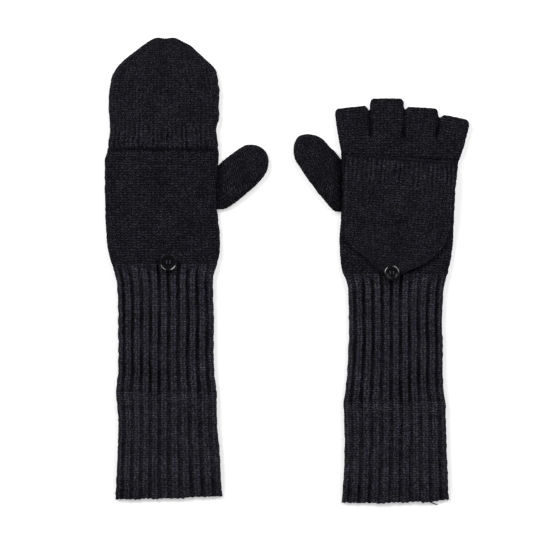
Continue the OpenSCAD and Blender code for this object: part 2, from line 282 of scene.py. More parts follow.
class Cloth:
    """A piece's mesh while it grows: points, faces, and each face corner's place in the knit."""

    def __init__(self):
        self.points, self.shades, self.count = [], [], 0
        self.faces = {3: [], 4: []}
        self.places = {3: [], 4: []}
        self.slots = {3: [], 4: []}

    def add_points(self, points, shade=1.0):
        start = self.count
        points = np.asarray(points, float).reshape(-1, 3)
        self.points.append(points)
        self.shades.append(np.broadcast_to(np.asarray(shade, float), (len(points),)))
        self.count += len(points)
        return start

    def add_faces(self, faces, places, slot=0):
        faces = np.asarray(faces, int)
        if len(faces):
            k = faces.shape[1]
            self.faces[k].append(faces)
            self.places[k].append(np.asarray(places, float).reshape(len(faces), k, 2))
            self.slots[k].append(np.full(len(faces), slot))

    def shell(self, grid, ring, rows, wall, closed_tip=False, slit=None, shade=1.0):
        """A tube's outer and inner surface with a rim at each open end.

        slit is the first row, the last row and the column of a slot through both layers.
        """
        count, n = grid.shape[:2]
        inner = grid - wall * normals_of(grid)
        if closed_tip:
            inner[-1] = inner[-1] * 0.3 + inner[-2] * 0.7
        inner[..., 2] = np.maximum(inner[..., 2], min(0.3, grid[..., 2].min() + 0.3))
        shade = np.broadcast_to(shade, (count, n)).ravel()
        # The inner surface gets painted shade: its tone is 0.6 of the outer surface's.
        starts = [self.add_points(grid, shade), self.add_points(inner, 0.6 * shade)]
        i, j = np.meshgrid(np.arange(count - 1), np.arange(n), indexing="ij")
        keep = np.ones(i.shape, bool)
        if slit:
            for column in (slit[2], n - 1 - slit[2]):
                keep[slit[0] : slit[1], column] = False
        i, j = i[keep], j[keep]
        places = quad_places(ring.arc, rows, i, j)
        for start, flip in zip(starts, (False, True), strict=True):
            face = quads(start, i, j, n)
            self.add_faces(face[:, ::-1] if flip else face, places[:, ::-1] if flip else places)
        self.rims(starts, count, n, keep, ring, rows, closed_tip)
        return inner

    def rims(self, starts, count, n, keep, ring, rows, closed_tip):
        """Joins the outer surface to the inner one along every open edge, and zips a closed tip shut."""
        shift = starts[1] - starts[0]
        edges = []
        for j in range(n):
            edges.append(((0, (j + 1) % n), (0, j)))
            if not closed_tip:
                edges.append(((count - 1, j), (count - 1, (j + 1) % n)))
        for i, j in zip(*np.nonzero(~keep), strict=True):
            a, b = (i, j), (i, (j + 1) % n)
            c, d = (i + 1, (j + 1) % n), (i + 1, j)
            if i == 0 or keep[i - 1, j]:
                edges.append((a, b))
            if i == count - 2 or keep[i + 1, j]:
                edges.append((c, d))
            edges += [(d, a), (b, c)]
        faces, places = [], []
        for (i0, j0), (i1, j1) in edges:
            p, q = starts[0] + i0 * n + j0, starts[0] + i1 * n + j1
            faces.append((p, q, q + shift, p + shift))
            u0, u1 = ring.arc[j0], ring.arc[j1]
            places.append([(u0, rows[i0]), (u1, rows[i1]), (u1, rows[i1] + 1.2), (u0, rows[i0] + 1.2)])
        self.add_faces(faces, places)
        if closed_tip:
            for start, flip in zip(starts, (False, True), strict=True):
                self.zip_tip(start + (count - 1) * n, n, ring, rows[-1], flip)

    def zip_tip(self, start, n, ring, v, flip):
        """Closes a tube's last ring by joining its top to its bottom."""
        for j in range(n // 2):
            corners = across_tip(j, n)
            place = [(ring.arc[j] if k <= n // 2 else ring.arc[j] + 0.3, v + (k > n // 2)) for k in corners]
            if flip:
                corners, place = corners[::-1], place[::-1]
            self.add_faces([[start + k for k in corners]], [place])

    def strand(self, line, radius, sides=6):
        """A round strand along a line of points, its ends closed to points."""
        line = np.asarray(line, float)
        along = np.gradient(line, axis=0)
        along /= np.linalg.norm(along, axis=1, keepdims=True)
        up = np.where(np.abs(along[:, 2:3]) > 0.9, [[1.0, 0, 0]], [[0, 0, 1.0]])
        side = np.cross(along, up)
        side /= np.linalg.norm(side, axis=1, keepdims=True)
        up = np.cross(side, along)
        radius = np.broadcast_to(np.asarray(radius, float), (len(line),))
        turn = np.arange(sides) * 2 * math.pi / sides
        around = side[:, None] * np.cos(turn)[None, :, None] + up[:, None] * np.sin(turn)[None, :, None]
        start = self.add_points(line[:, None] + around * radius[:, None, None])
        i, j = cells(len(line) - 1, sides)
        length = np.concatenate([[0], np.cumsum(np.linalg.norm(np.diff(line, axis=0), axis=1))])
        wrap = 2 * math.pi * radius.mean() / sides
        self.add_faces(quads(start, i, j, sides), quad_places(wrap * np.arange(sides + 1), length, i, j))
        for row, flip in ((0, True), (len(line) - 1, False)):
            tip = self.add_points(line[row][None])
            ends = [(start + row * sides + a, start + row * sides + (a + 1) % sides, tip) for a in range(sides)]
            ends = [e[::-1] for e in ends] if flip else ends
            self.add_faces(ends, np.zeros((sides, 3, 2)))

    def fuzz(self, grid, count):
        """Loose wool hairs that start anywhere on a grid's outer surface."""
        n = grid.shape[1]
        area = np.linalg.norm(
            np.cross(np.roll(grid, -1, 1)[:-1] - grid[:-1], grid[1:] - grid[:-1]), axis=2
        ).ravel()
        cell = rng.choice(len(area), count, p=area / area.sum())
        i, j = np.divmod(cell, n)
        s, t = rng.random((2, count, 1))
        nxt = (j + 1) % n
        this_row = (1 - t) * grid[i, j] + t * grid[i, nxt]
        next_row = (1 - t) * grid[i + 1, j] + t * grid[i + 1, nxt]
        base = (1 - s) * this_row + s * next_row
        self.grow_hairs(base, normals_of(grid)[i, j], shortest=0.5, scale=0.55, thickest=0.065, curl=0.3)

    def grow_hairs(self, base, up, shortest, scale, thickest, curl=0.0):
        """Hairs of the second material from points with these normals, lying nearly along the surface."""
        count = len(base)
        way = rng.normal(size=(count, 3))
        way -= up * np.sum(way * up, axis=1, keepdims=True)
        way /= np.linalg.norm(way, axis=1, keepdims=True)
        side = np.cross(up, way)
        length = rng.gamma(3.0, scale, (count, 1)) + shortest
        lift = rng.gamma(1.6, 0.09, (count, 1))
        bend = rng.normal(0, curl, (count, 1)) if curl else 0.0
        radius = rng.uniform(0.03, thickest, (count, 1))
        rings, sides = 4, 3
        points = []
        for k in np.linspace(0, 1, rings):
            line = base + length * (way * k + side * bend * k * k + up * lift * math.sin(math.pi * 0.7 * k))
            size = radius * (1 - 0.8 * k)
            for a in (0, 2 * math.pi / 3, 4 * math.pi / 3):
                points.append(line + size * (side * math.cos(a) + up * math.sin(a)))
        points = np.stack(points, axis=1)
        points[..., 2] = np.maximum(points[..., 2], LOWEST_HAIR)
        start = self.add_points(points)
        one = quads(0, *cells(rings - 1, sides), sides)
        faces = (start + rings * sides * np.arange(count))[:, None, None] + one[None]
        places = np.broadcast_to(rng.random((count, 1, 1, 1)) * 100, (count, len(one), 4, 2))
        self.add_faces(faces.reshape(-1, 4), places.reshape(-1, 4, 2), slot=1)

    def build(self, name, mitten, materials):
        """The finished object, in the frame's metres."""
        points = mitten.place(np.concatenate(self.points))
        counts = [k for k in (4, 3) if self.faces[k]]
        faces = {k: np.concatenate(self.faces[k]) for k in counts}
        places = {k: np.concatenate(self.places[k]) for k in counts}
        slots = np.concatenate([np.concatenate(self.slots[k]) for k in counts])
        if volume(points, faces) < 0:
            faces = {k: f[:, ::-1] for k, f in faces.items()}
            places = {k: p[:, ::-1] for k, p in places.items()}
        mesh = bpy.data.meshes.new(name)
        mesh.vertices.add(len(points))
        mesh.vertices.foreach_set("co", (points * MM).ravel())
        corners = np.concatenate([faces[k].ravel() for k in counts])
        sizes = np.concatenate([np.full(len(faces[k]), k) for k in counts])
        mesh.loops.add(len(corners))
        mesh.loops.foreach_set("vertex_index", corners)
        mesh.polygons.add(len(sizes))
        mesh.polygons.foreach_set("loop_start", np.concatenate([[0], np.cumsum(sizes)[:-1]]))
        mesh.polygons.foreach_set("use_smooth", np.ones(len(sizes), bool))
        mesh.polygons.foreach_set("material_index", slots)
        shade = mesh.attributes.new("shade", "FLOAT", "POINT")
        shade.data.foreach_set("value", np.concatenate(self.shades))
        uv = mesh.uv_layers.new(name="knit")
        uv.data.foreach_set("uv", np.concatenate([places[k].reshape(-1, 2) for k in counts]).ravel() * 0.01)
        mesh.update()
        mesh.validate()
        for material in materials:
            mesh.materials.append(material)
        return linked(name, mesh)


def linked(name, data):
    """A new object in the scene."""
    obj = bpy.data.objects.new(name, data)
    bpy.context.collection.objects.link(obj)
    return obj


def mesh_from(name, shape):
    """A mesh with a bmesh's faces. The bmesh is freed."""
    mesh = bpy.data.meshes.new(name)
    shape.to_mesh(mesh)
    shape.free()
    return mesh


def applied(obj):
    """An object's mesh with its modifiers applied. The object is removed."""
    bpy.context.view_layer.update()
    mesh = bpy.data.meshes.new_from_object(obj.evaluated_get(bpy.context.evaluated_depsgraph_get()))
    bpy.data.objects.remove(obj)
    return mesh


def volume(points, faces):
    """Six times the volume inside the faces, negative where they face inwards."""
    total = 0.0
    for k, f in faces.items():
        for a in range(1, k - 1):
            p, q, r = points[f[:, 0]], points[f[:, a]], points[f[:, a + 1]]
            total += np.sum(p * np.cross(q, r))
    return total


class Mitten:
    """One mitten's place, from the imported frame."""

    def __init__(self, side):
        self.side = side
        self.sign = 1 if side == "left" else -1
        low, high = (np.array(v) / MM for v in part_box(f"{side}_cuff_upper"))
        outer_reach = 41.0  # of the cuff at the wrist, on the little finger's side
        self.wrist = (low[0] + outer_reach if side == "left" else high[0] - outer_reach, high[1])
        self.bend = 0.0 if side == "left" else 1 / 1184  # how the right hand leans away above the wrist
        self.lean = 0.0 if side == "left" else math.radians(4.5)
        self.seam = (-0.9, 94.5) if side == "left" else (-3.7, 93.6)
        under_hood = self.open_hood(np.array([[0, HOOD_TO_SHANK, 0]]))[0, :2]
        self.button = (3.9, 1.1) if side == "left" else tuple(under_hood)

    def place(self, points):
        """From the mitten's own frame to the shared one, both in millimetres."""
        points = np.array(points, float)
        points[..., 0] = self.wrist[0] + self.sign * points[..., 0]
        points[..., 1] += self.wrist[1]
        return points

    def metres(self, x, y, z):
        return tuple(self.place(np.array([x, y, z])) * MM)

    def bent(self, grid):
        """Leans the hand above the wrist."""
        grid = grid.copy()
        x, y = grid[..., 0].copy(), grid[..., 1].copy()
        up = np.maximum(y, 0)
        grid[..., 0] = x - up**2 * self.bend / 2
        grid[..., 1] = y + x * up * self.bend
        return grid

    def open_hood(self, points):
        """From (across, distance from the seam, z) of a flipped-back hood."""
        c, s = math.cos(self.lean), math.sin(self.lean)
        x, u = points[..., 0], points[..., 1]
        return np.stack([self.seam[0] + x * c + u * s, self.seam[1] + x * s - u * c, points[..., 2]], axis=-1)

    def closed_hood(self, points):
        """The same for a hood that is closed over the fingers."""
        return points + np.array([self.seam[0], self.seam[1], 0.0])


# ---------------------------------------------------------------- materials


class Shader:
    """Short ways to add nodes to one material."""

    def __init__(self, name):
        self.material = bpy.data.materials.new(name)
        self.material.use_nodes = True
        self.nodes, self.links = self.material.node_tree.nodes, self.material.node_tree.links
        self.main = self.nodes["Principled BSDF"]

    def put(self, socket, value):
        if isinstance(value, bpy.types.NodeSocket):
            self.links.new(value, socket)
        else:
            socket.default_value = value

    def settings(self, values):
        """Sets numbers and colours on the shader's own sockets."""
        for name, value in values.items():
            self.main.inputs[name].default_value = value

    def places(self):
        """Each point's place in the knit in millimetres, whole and split into its two parts."""
        uv = self.nodes.new("ShaderNodeUVMap")
        uv.uv_map = "knit"
        scaled = self.nodes.new("ShaderNodeVectorMath")
        scaled.operation = "SCALE"
        scaled.inputs["Scale"].default_value = 100.0
        self.links.new(uv.outputs["UV"], scaled.inputs[0])
        split = self.nodes.new("ShaderNodeSeparateXYZ")
        self.links.new(scaled.outputs[0], split.inputs[0])
        return scaled.outputs[0], split

    def math(self, operation, a, b=0.0):
        node = self.nodes.new("ShaderNodeMath")
        node.operation = operation
        self.put(node.inputs[0], a)
        self.put(node.inputs[1], b)
        return node.outputs[0]

    def noise(self, vector, scale, detail=2.0, roughness=0.5):
        node = self.nodes.new("ShaderNodeTexNoise")
        self.put(node.inputs["Vector"], vector)
        self.put(node.inputs["Scale"], scale)
        self.put(node.inputs["Detail"], detail)
        self.put(node.inputs["Roughness"], roughness)
        return node.outputs["Fac"]

    def stretch(self, value, low, high, to_low=0.0, to_high=1.0):
        node = self.nodes.new("ShaderNodeMapRange")
        for socket, v in zip(node.inputs[:5], (value, low, high, to_low, to_high), strict=False):
            self.put(socket, v)
        return node.outputs[0]

    def mix(self, share, a, b):
        node = self.nodes.new("ShaderNodeMix")
        node.data_type, node.clamp_factor = "RGBA", False
        self.put(node.inputs["Factor"], share)
        self.put(node.inputs["A"], a)
        self.put(node.inputs["B"], b)
        return node.outputs["Result"]

    def bump(self, height, distance, strength=1.0):
        node = self.nodes.new("ShaderNodeBump")
        self.put(node.inputs["Height"], height)
        self.put(node.inputs["Distance"], distance)
        self.put(node.inputs["Strength"], strength)
        self.links.new(node.outputs["Normal"], self.main.inputs["Normal"])


def grey(value, blue=1.24):
    """A dark heather tone, a little blue."""
    return (value, value * 0.975, value * blue, 1.0)


def knit(name, course, wale, light, row_share, wale_share, deep=0.0012):
    """Wool in stockinette stitch: slanted V stitches, each of its own tone, with painted shade in the hollows
    between them and wherever the points' shade attribute is low.
    """
    s = Shader(name)
    place, split = s.places()
    shade = s.nodes.new("ShaderNodeAttribute")
    shade.attribute_name = "shade"
    wander = s.stretch(s.noise(place, 0.16, 1.0), 0, 1, -0.5, 0.5)
    u = s.math("ADD", s.math("DIVIDE", split.outputs[0], wale), s.math("MULTIPLY", wander, 0.3))
    v = s.math("ADD", s.math("DIVIDE", split.outputs[1], course), wander)
    side = s.math("MULTIPLY", s.math("PINGPONG", u, 0.5), 2.0)
    row = s.math("ADD", v, s.math("MULTIPLY", side, 0.4))
    over = s.math("POWER", s.math("SINE", s.math("MULTIPLY", s.math("FRACT", row), math.pi)), 1.5)
    over = s.math("ADD", s.math("MULTIPLY", over, row_share), 1.0 - row_share)
    leg = s.math("SUBTRACT", 1.0, s.math("POWER", side, 3.0))
    leg = s.math("ADD", s.math("MULTIPLY", leg, wale_share), 1.0 - wale_share)
    stitch = s.math("MULTIPLY", over, leg)
    # Each half leg of a stitch has its own tone.
    group = s.nodes.new("ShaderNodeCombineXYZ")
    s.put(group.inputs[0], s.math("FLOOR", s.math("MULTIPLY", u, 2.0)))
    s.put(group.inputs[1], s.math("FLOOR", s.math("MULTIPLY", row, 2.0)))
    white = s.nodes.new("ShaderNodeTexWhiteNoise")
    white.noise_dimensions = "2D"
    s.put(white.inputs["Vector"], group.outputs[0])
    grain = s.math("ADD", s.math("MULTIPLY", s.math("POWER", white.outputs["Value"], 1.6), 1.2), 0.54)
    hair = s.noise(place, 1.2, 3.0, 0.75)
    height = s.math("ADD", stitch, s.math("MULTIPLY", hair, 0.5))
    patch = s.stretch(s.noise(place, 0.05, 1.0), 0.3, 0.7, 0.82, 1.18)
    tone = s.math("MULTIPLY", s.math("MULTIPLY", stitch, grain), patch)
    fluff = s.math("POWER", s.stretch(hair, 0.34, 0.66, 0.1, 1.8), 2.0)
    # Here the points' shade attribute paints shade into the tone.
    tone = s.math("MULTIPLY", s.math("MULTIPLY", tone, fluff), shade.outputs["Fac"])
    s.put(s.main.inputs["Base Color"], s.mix(tone, grey(deep, 1.8), grey(light)))
    s.settings({
        "Roughness": 0.9, "Specular IOR Level": 0.02, "Sheen Weight": 0.01, "Sheen Roughness": 0.5,
        "Sheen Tint": (0.75, 0.78, 0.9, 1),
    })
    s.bump(height, 0.0006, 0.9)
    return s.material


def yarn(name, tone, twist=0.9):
    """A plied yarn or thread, its plies slanting round it."""
    s = Shader(name)
    place, split = s.places()
    slant = s.math("DIVIDE", s.math("ADD", split.outputs[0], split.outputs[1]), twist)
    ply = s.math("ABSOLUTE", s.math("SINE", s.math("MULTIPLY", slant, math.pi)))
    fluff = s.noise(place, 2.5, 3.0, 0.7)
    colour = s.mix(s.math("MULTIPLY", ply, fluff), grey(tone * 0.3), grey(tone * 1.7))
    s.put(s.main.inputs["Base Color"], colour)
    s.settings({
        "Roughness": 0.8, "Specular IOR Level": 0.05,
    })
    s.bump(ply, 0.0002, 0.8)
    return s.material


def hairs(name):
    """Loose hairs, from dark to pale, each with its own tone."""
    s = Shader(name)
    white = s.nodes.new("ShaderNodeTexWhiteNoise")
    white.noise_dimensions = "2D"
    s.links.new(s.places()[0], white.inputs["Vector"])
    pale = s.math("POWER", white.outputs["Value"], 4.0)
    s.put(s.main.inputs["Base Color"], s.mix(pale, grey(0.008), grey(0.22, 1.1)))
    s.settings({
        "Roughness": 0.6, "Specular IOR Level": 0.1,
    })
    return s.material


def polished(name):
    """Polished black plastic with faint wear scratches."""
    s = Shader(name)
    where = s.nodes.new("ShaderNodeTexCoord")
    streak = s.noise(where.outputs["Object"], 900.0, 4.0, 0.7)
    s.put(s.main.inputs["Base Color"], s.mix(streak, (0.0035, 0.0035, 0.004, 1), (0.009, 0.009, 0.011, 1)))
    s.put(s.main.inputs["Roughness"], s.stretch(streak, 0.3, 0.8, 0.1, 0.24))
    s.settings({
        "IOR": 1.5, "Coat Weight": 0.6, "Coat Roughness": 0.06,
    })
    s.bump(streak, 0.00002, 0.3)
    return s.material


RIB_WALE = BODY_RING.length / RIBS_ROUND / 3
HAND_LIGHT, RIB_LIGHT = 0.0245, 0.05
HAND_KNIT = knit("hand_knit", COURSE, WALE, light=HAND_LIGHT, row_share=0.8, wale_share=0.45)
HOOD_KNIT = knit("hood_knit", 0.93 * COURSE, WALE, light=0.0242, row_share=0.66, wale_share=0.5)
RIB_KNIT = knit("rib_knit", 0.9 * COURSE, RIB_WALE, light=RIB_LIGHT, row_share=0.66, wale_share=0.65)
YARN = yarn("linking_yarn", 0.022)
# The thread's pale tone is a painted highlight on a dark thread.
THREAD = yarn("sewing_thread", 0.12, 0.35)
HAIRS = hairs("loose_hairs")
GLOSS = polished("button_gloss")


# ---------------------------------------------------------------- the knit body


def body_grid(mitten, rows):
    """The hand and cuff as one flattened tube, and each point's tone with painted shade. The ribs fade out
    above the wrist.
    """
    sign = mitten.sign
    thumb, outer = smooth(BODY_OUTLINE[mitten.side], rows).T
    thumb = thumb + 0.2 * waver(rows, 0 * rows, 9, 3 + sign)
    outer = outer + 0.2 * waver(rows, 0 * rows, 8, 9 + sign)
    beside = 0.4 * hump(rows, FOLD_AT + 7, 5)
    crease = 0.7 * hump(rows, FOLD_AT, 2.0) - beside - 0.5 * hump(rows, FOLD_AT - 8, 6)
    front = ease(rows, 91.0, 94.8)
    hem = 1 - ease(rows, rows[0], rows[0] + 20) if rows[0] < 0 else 0 * rows
    top = BODY_TOP - 0.5 - 1.1 * crease - 0.7 * front - 3.6 * hem
    grid = tube_grid(BODY_RING, rows, thumb, outer, 0 * rows, 0.46 * top, top, BODY_EDGE, crown=0.35)
    out = normals_of(grid)
    arc = BODY_RING.arc[None, :-1]
    ribbed = 1 - ease(rows[:, None] + 3 * waver(arc, 0 * rows[:, None], 16, 71), -9, 3)
    finer = 1 - 0.3 * ease(-rows, 100, 112)[:, None]
    drift = 0.07 * waver(rows[:, None], arc * 0.2, 70, 15 + sign) + 0.02 * waver(rows[:, None], arc, 12, 77)
    turn = arc / BODY_RING.length * RIBS_ROUND + drift
    off = np.abs(turn - np.round(turn)) * 2
    groove = 1 - ease(off, 0.14, 0.44)
    uneven = 1 + 0.25 * waver(arc, rows[:, None], 35, 5)
    sunk = ribbed * finer * groove * uneven
    grid = grid - out * (RIB_DEPTH * sunk)[..., None]
    puff = 0.3 * waver(arc, rows[:, None], 26, 11 + sign) * (1 - np.abs(BODY_RING.across) ** 4)[None, :]
    grid[..., 2] += np.where(BODY_RING.on_top, 1, 0)[None, :] * puff
    grid = grid + out * (0.16 * waver(arc, rows[:, None], 3.2, 23 + sign))[..., None]
    grid[..., 2] = np.maximum(grid[..., 2], LOWEST)
    # Painted shade: darker in the rib grooves, along the fold and towards the hood's seam.
    shade = (1 - 0.74 * np.clip(sunk, 0, 1)) * (1 - 0.18 * hump(rows, FOLD_AT, 1.6) - 0.2 * front)[:, None]
    # The ribs are paler than the hand: their tone fades into its tone at the wrist.
    paler = RIB_LIGHT / HAND_LIGHT - 1
    shade = shade * np.where(rows[:, None] <= 0, (1 + paler * ribbed) / (1 + paler), 1 + paler * ribbed)
    return mitten.bent(grid), shade


def make_cuff(mitten):
    """The ribbed tube below the wrist, with a crease at the fold line where its end is turned up."""
    side = mitten.side
    end = BODY_OUTLINE[side][0][0]
    rows = np.concatenate([[end, end + 0.4], np.arange(end + 1.2, -0.5, ROW), [0.0]])
    grid, shade = body_grid(mitten, rows)
    # The hem is a little slanted, and drawn in between its loops.
    arc = BODY_RING.arc[:-1]
    reach = np.interp(BODY_RING.across, HEM_AT, HEM_REACH[side])
    reach = reach + 0.7 * np.abs(np.sin(math.pi * arc / 3.9)) + 0.4 * waver(arc, 0, 13, 81)
    grid[..., 1] += reach[None, :] * (1 - ease(rows, end, end + 14))[:, None]
    cloth = Cloth()
    cloth.shell(grid, BODY_RING, rows, KNIT_WALL, shade=shade)
    cloth.fuzz(grid, HAIRS_ON["cuff"])
    if side == "right":
        # The loose end of the casting-off yarn, beside the hem.
        t = np.linspace(0, 1, 14)
        line = np.stack([-22 - 13 * t, end + 0.4 + 1.3 * np.sin(5 * t), 3.2 - 2.3 * t], axis=1)
        cloth.strand(line, 0.65 * (1 - 0.4 * t))
    obj = cloth.build(f"{side}_rib_cuff", mitten, [RIB_KNIT, HAIRS])
    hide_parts(f"{side}_cuff_upper", f"{side}_cuff_lower")
    mitten.metres(0, FOLD_AT + 2, 4)
    mitten.metres(0, FOLD_AT - 15, 4)
    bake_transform(obj)
    return obj


def make_hand(mitten):
    """The plain tube from the wrist to the knuckles."""
    rows = np.concatenate([[0.0], np.arange(ROW, 95.2, ROW), [95.6]])
    grid, shade = body_grid(mitten, rows)
    shade[0] = shade[1]
    cloth = Cloth()
    cloth.shell(grid, BODY_RING, rows, KNIT_WALL, shade=shade)
    cloth.fuzz(grid, HAIRS_ON["hand"])
    obj = cloth.build(f"{mitten.side}_hand_knit", mitten, [HAND_KNIT, HAIRS])
    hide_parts(f"{mitten.side}_hand")
    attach(obj, f"{mitten.side}_hand_body")
    return obj


# ---------------------------------------------------------------- the thumb


def make_thumb(mitten):
    """A closed tube that starts just inside the hand's edge and ends in a round tip."""
    spec = THUMB[mitten.side]
    angle = math.radians(spec["angle"])
    d = np.array([math.cos(angle), math.sin(angle)])
    n = np.array([-d[1], d[0]])
    ring = Ring(112, 15.5, 4.5, 3.6)
    reach = spec["outline"][-1][0]
    share = np.concatenate([np.linspace(0, 0.9, 48), [0.92, 0.94, 0.955, 0.97, 0.98, 0.99, 0.996, 1.0]])
    # Each column starts on a line just inside the hand's edge, so the rows fan out from it.
    inside = spec["edge"] - 3.5
    up, down = smooth(spec["outline"], [0.0])[0]
    first = (inside - spec["base"][0] - np.where(ring.across > 0, up, down) * ring.across * n[0]) / d[0]
    along = first[None, :] + share[:, None] * (reach - first[None, :])
    reaches = smooth(spec["outline"], along.ravel()).reshape(along.shape + (2,))
    across = ring.across[None, :] * np.where(ring.across > 0, reaches[..., 0], reaches[..., 1])
    x = spec["base"][0] + along * d[0] + across * n[0]
    y = spec["base"][1] + along * d[1] + across * n[1]
    lowest = spec["base"][1] - (17.0 if mitten.side == "left" else 17.6)
    y = lowest + 1.5 * np.logaddexp(0, (y - lowest) / 1.5)
    out_from_edge = x - spec["edge"]
    past = np.clip((along - (reach - 13)) / 13, 0, 1)
    thin = np.sqrt(np.maximum(0.03, 1 - past**3))
    top = smooth([(-4, 4.4), (0, 4.8), (5, 6.2), (14, 7.8), (30, 8.1), (60, 7.2)], out_from_edge.ravel())[:, 0]
    top = top.reshape(along.shape)
    half = np.maximum(np.where(ring.across > 0, reaches[..., 0], reaches[..., 1]), 1.0)
    q = round_edge((1 - np.abs(ring.across))[None, :] * half / np.minimum(4.5, half))
    level = 0.47 * top
    high = (top - level + 0.5 * (1 - ring.across**2)[None, :]) * thin
    z = level + np.where(ring.on_top[None, :], high * q, -level * thin * q)
    grid = np.stack([x, y, z], axis=2)
    out = normals_of(grid)
    puff = 0.25 * waver(across, along, 14, 31 + mitten.sign) + 0.14 * waver(across, along, 3.1, 37)
    grid = grid + out * (puff * (1 - past))[..., None]
    grid[..., 2] = np.maximum(grid[..., 2], LOWEST)
    # Painted shade where the thumb's base runs under the hand's edge.
    shade = 0.3 + 0.7 * ease(out_from_edge, 0, 8.5)
    cloth = Cloth()
    cloth.shell(grid, ring, np.linspace(0, reach + 14, len(share)), 1.1, closed_tip=True, shade=shade)
    cloth.fuzz(grid, HAIRS_ON["thumb"])
    obj = cloth.build(f"{mitten.side}_thumb_knit", mitten, [HAND_KNIT, HAIRS])
    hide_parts(f"{mitten.side}_thumb")
    middle = spec["base"][1]
    mitten.metres(spec["edge"] - 2, middle, 5)
    mitten.metres(spec["edge"] + 9, middle, 5)
    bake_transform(obj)
    return obj


# ---------------------------------------------------------------- the finger tubes


def closed_form(mitten, name, grid):
    """A temporary closed solid, for the union of the fingers."""
    cloth = Cloth()
    count, n = grid.shape[:2]
    start = cloth.add_points(grid)
    faces = quads(start, *cells(count - 1, n), n)
    cloth.add_faces(faces, np.zeros((len(faces), 4, 2)))
    for row, flip in ((0, True), (count - 1, False)):
        for a in range(n // 2):
            corners = across_tip(a, n)
            corners = corners[::-1] if flip else corners
            cloth.add_faces([[start + row * n + k for k in corners]], np.zeros((1, len(corners), 2)))
    return cloth.build(name, mitten, [])


def tube_frame(mitten, i):
    """A finger tube's base middle, direction, sideways direction, base width and tip width."""
    k = np.array(KNUCKLES[mitten.side], float)
    angle = math.radians(LEAN[mitten.side][i])
    along = np.array([math.sin(angle), math.cos(angle)])
    across = np.array([math.cos(angle), -math.sin(angle)])
    return (k[i] + k[i + 1]) / 2, along, across, np.linalg.norm(k[i + 1] - k[i]), TIP_WIDTH[mitten.side][i]


def finger_forms(mitten):
    """Four closed tubes and the block of knuckles that they grow from."""
    ring = Ring(72, 12, 3.6, 3.2)
    forms = []
    for i, length in enumerate(TUBE_LENGTH):
        base, along, across, wide, tip = tube_frame(mitten, i)
        near_tip = np.linspace(length - 4, length + 3, 9)
        s = np.concatenate([[-16.0, -8, -3], np.linspace(0, length - 5, 12), near_tip])
        widths = [(-16, wide / 2 - 1.5), (0, wide / 2 - 0.1), (length * 0.7, tip / 2), (length + 4, tip / 2)]
        half = smooth(widths, s)[:, 0]
        corner = np.clip((s - (length - 4.5)) / 4.6, 0, 1)
        half = half - TIP_ROUND[i] * (1 - np.sqrt(1 - corner**2.4))
        high = smooth([(-16, 7.0), (-4, 7.9), (0, 8.1), (length, 7.6), (length + 4, 7.4)], s)[:, 0]
        grid = tube_grid(ring, s, half, half, 1.8, 4.7, high, 3.6, crown=0.5)
        x, y = grid[..., 0].copy(), grid[..., 1].copy()
        grid[..., 0] = base[0] + x * across[0] + y * along[0]
        grid[..., 1] = base[1] + x * across[1] + y * along[1]
        forms.append(closed_form(mitten, f"form_{i}", grid))
    rows = np.linspace(mitten.seam[1] - 11.5, 112.0, 18)
    thumb, outer = smooth(KNUCKLE_OUTLINE[mitten.side], rows).T
    high = 6.6 + 1.6 * ease(rows, mitten.seam[1] - 8, mitten.seam[1] + 2)
    block = tube_grid(Ring(160, 45, 4.5, 3.2), rows, thumb, outer, 1.8, 4.5, high, 4.5, crown=0.3)
    # The knuckle line slopes down to the little finger.
    fall = 4.5 if mitten.side == "right" else 1.0
    block[..., 1] -= fall * ease(-block[..., 0], 20, 50) * ease(block[..., 1], mitten.seam[1], 112)
    forms.append(closed_form(mitten, "form_block", block))
    return forms


def united(forms, voxel):
    """One smooth skin round several closed forms that overlap."""
    first = forms[0]
    mesh = bmesh.new()
    for form in forms:
        mesh.from_mesh(form.data)
    mesh.to_mesh(first.data)
    mesh.free()
    for form in forms[1:]:
        bpy.data.objects.remove(form)
    remesh = first.modifiers.new("remesh", "REMESH")
    remesh.mode, remesh.voxel_size = "VOXEL", voxel * MM
    soften = first.modifiers.new("soften", "SMOOTH")
    soften.factor, soften.iterations = 0.5, 5
    return applied(first)


def open_tubes(mitten, mesh):
    """Opens each tube at its tip, and the knuckles at their base."""
    grown = bmesh.new()
    grown.from_mesh(mesh)
    for i, length in enumerate(TUBE_LENGTH):
        base, along, across, _, tip = tube_frame(mitten, i)
        end = base + along * length
        inside = []
        for face in grown.faces:
            c = face.calc_center_median()
            local = ((c.x / MM - mitten.wrist[0]) * mitten.sign, c.y / MM - mitten.wrist[1])
            ahead = (local[0] - end[0]) * along[0] + (local[1] - end[1]) * along[1]
            aside = (local[0] - end[0]) * across[0] + (local[1] - end[1]) * across[1]
            if abs(aside) < tip / 2 + 1.2 and ahead > -3:
                inside.append(face)
        # A dict keeps the order that it was filled in, so that every run cuts and numbers the mesh alike.
        geometry = dict.fromkeys(inside)
        for face in inside:
            geometry.update(dict.fromkeys(face.edges))
            geometry.update(dict.fromkeys(face.verts))
        point = mitten.metres(end[0], end[1], 5)
        normal = (along[0] * mitten.sign, along[1], 0)
        bmesh.ops.bisect_plane(grown, geom=list(geometry), plane_co=point, plane_no=normal, clear_outer=True)
    low = mitten.metres(0, mitten.seam[1] - 8, 5)
    everything = grown.verts[:] + grown.edges[:] + grown.faces[:]
    bmesh.ops.bisect_plane(grown, geom=everything, plane_co=low, plane_no=(0, -1, 0), clear_outer=True)
    loose = [v for v in grown.verts if not v.link_faces]
    bmesh.ops.delete(grown, geom=loose, context="VERTS")
    grown.to_mesh(mesh)
    grown.free()
    mesh.update()


